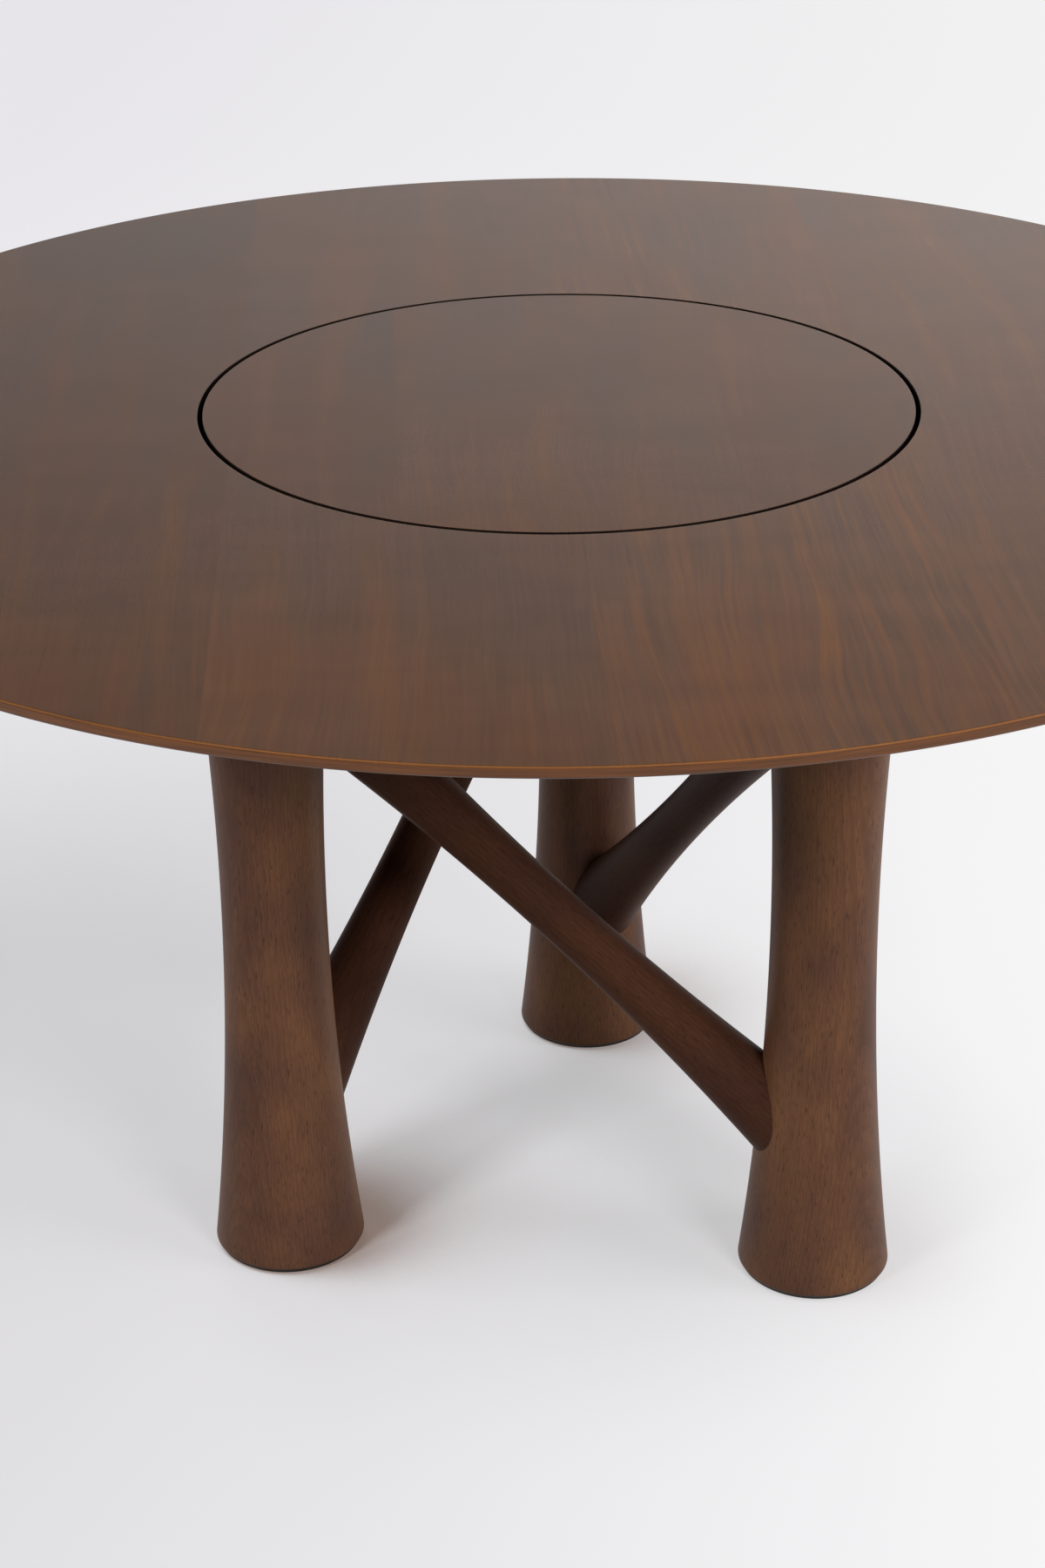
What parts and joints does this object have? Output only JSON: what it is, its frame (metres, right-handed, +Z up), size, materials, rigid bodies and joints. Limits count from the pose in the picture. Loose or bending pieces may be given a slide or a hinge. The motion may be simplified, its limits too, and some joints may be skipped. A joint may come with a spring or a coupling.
{
  "type": "round dining table",
  "caption": "Round wooden dining table with a flush turning disc set in its thin-edged top, on hourglass legs tied together by slanted hourglass braces.",
  "frame": {"origin": "on the floor under the middle of the top", "axes": "+Z up along the turntable's axis, +Y towards the leg that stands at the back, the other two legs stand at the front left and front right"},
  "size_m": [1.3998, 1.4, 0.75],
  "materials": {
    "veneer": "satin lacquered walnut-tone veneer",
    "lipping": "satin lacquered solid hardwood, warmer than the veneer",
    "turned_wood": "stained solid hardwood, satin lacquer",
    "core_panel": "wood-fibre panel, stained dark where it shows",
    "well_panel": "plywood, stained dark",
    "dowel_wood": "plain beech",
    "ring_alloy": "turned and clear anodised",
    "ball_steel": "polished bearing steel",
    "fixing_steel": "zinc plated",
    "cage_nylon": "moulded nylon",
    "glide_nylon": "moulded black nylon"
  },
  "bodies": {
    "base": {"leg_right": "turned_wood", "leg_back": "turned_wood", "leg_left": "turned_wood", "brace_right_to_left": "turned_wood", "brace_left_to_back": "turned_wood", "brace_back_to_right": "turned_wood", "brace_low_dowels": "dowel_wood", "brace_high_dowels": "dowel_wood", "leg_inserts": "fixing_steel", "leg_bolts": "fixing_steel", "leg_bolt_washers": "fixing_steel", "leg_dowels": "dowel_wood", "foot_glide_right": "glide_nylon", "foot_glide_back": "glide_nylon", "foot_glide_left": "glide_nylon", "foot_glide_screws": "fixing_steel", "well_floor": "well_panel", "well_floor_screws": "fixing_steel", "top_core": "core_panel", "top_edge_lipping": "lipping", "top_opening_lipping": "lipping", "top_veneer": "veneer", "bearing_outer_ring": "ring_alloy", "bearing_base_screws": "fixing_steel"},
    "turntable": {"turntable_core": "core_panel", "turntable_lipping": "lipping", "turntable_veneer": "veneer", "bearing_inner_ring": "ring_alloy", "turntable_screws": "fixing_steel"},
    "balls": {"ball_cage": "cage_nylon", "bearing_balls": "ball_steel"}
  },
  "joints": [
    {"name": "turntable_spin", "type": "hinge", "parent": "base", "child": "turntable", "pos_m": [0, 0, 0.727], "axis": [0, 0, 1], "continuous": true},
    {"name": "ball_ring_spin", "type": "hinge", "parent": "base", "child": "balls", "pos_m": [0, 0, 0.727], "axis": [0, 0, 1], "continuous": true}
  ],
  "couplings": [
    {"joint": "ball_ring_spin", "follows": "turntable_spin", "ratio": 0.494}
  ]
}
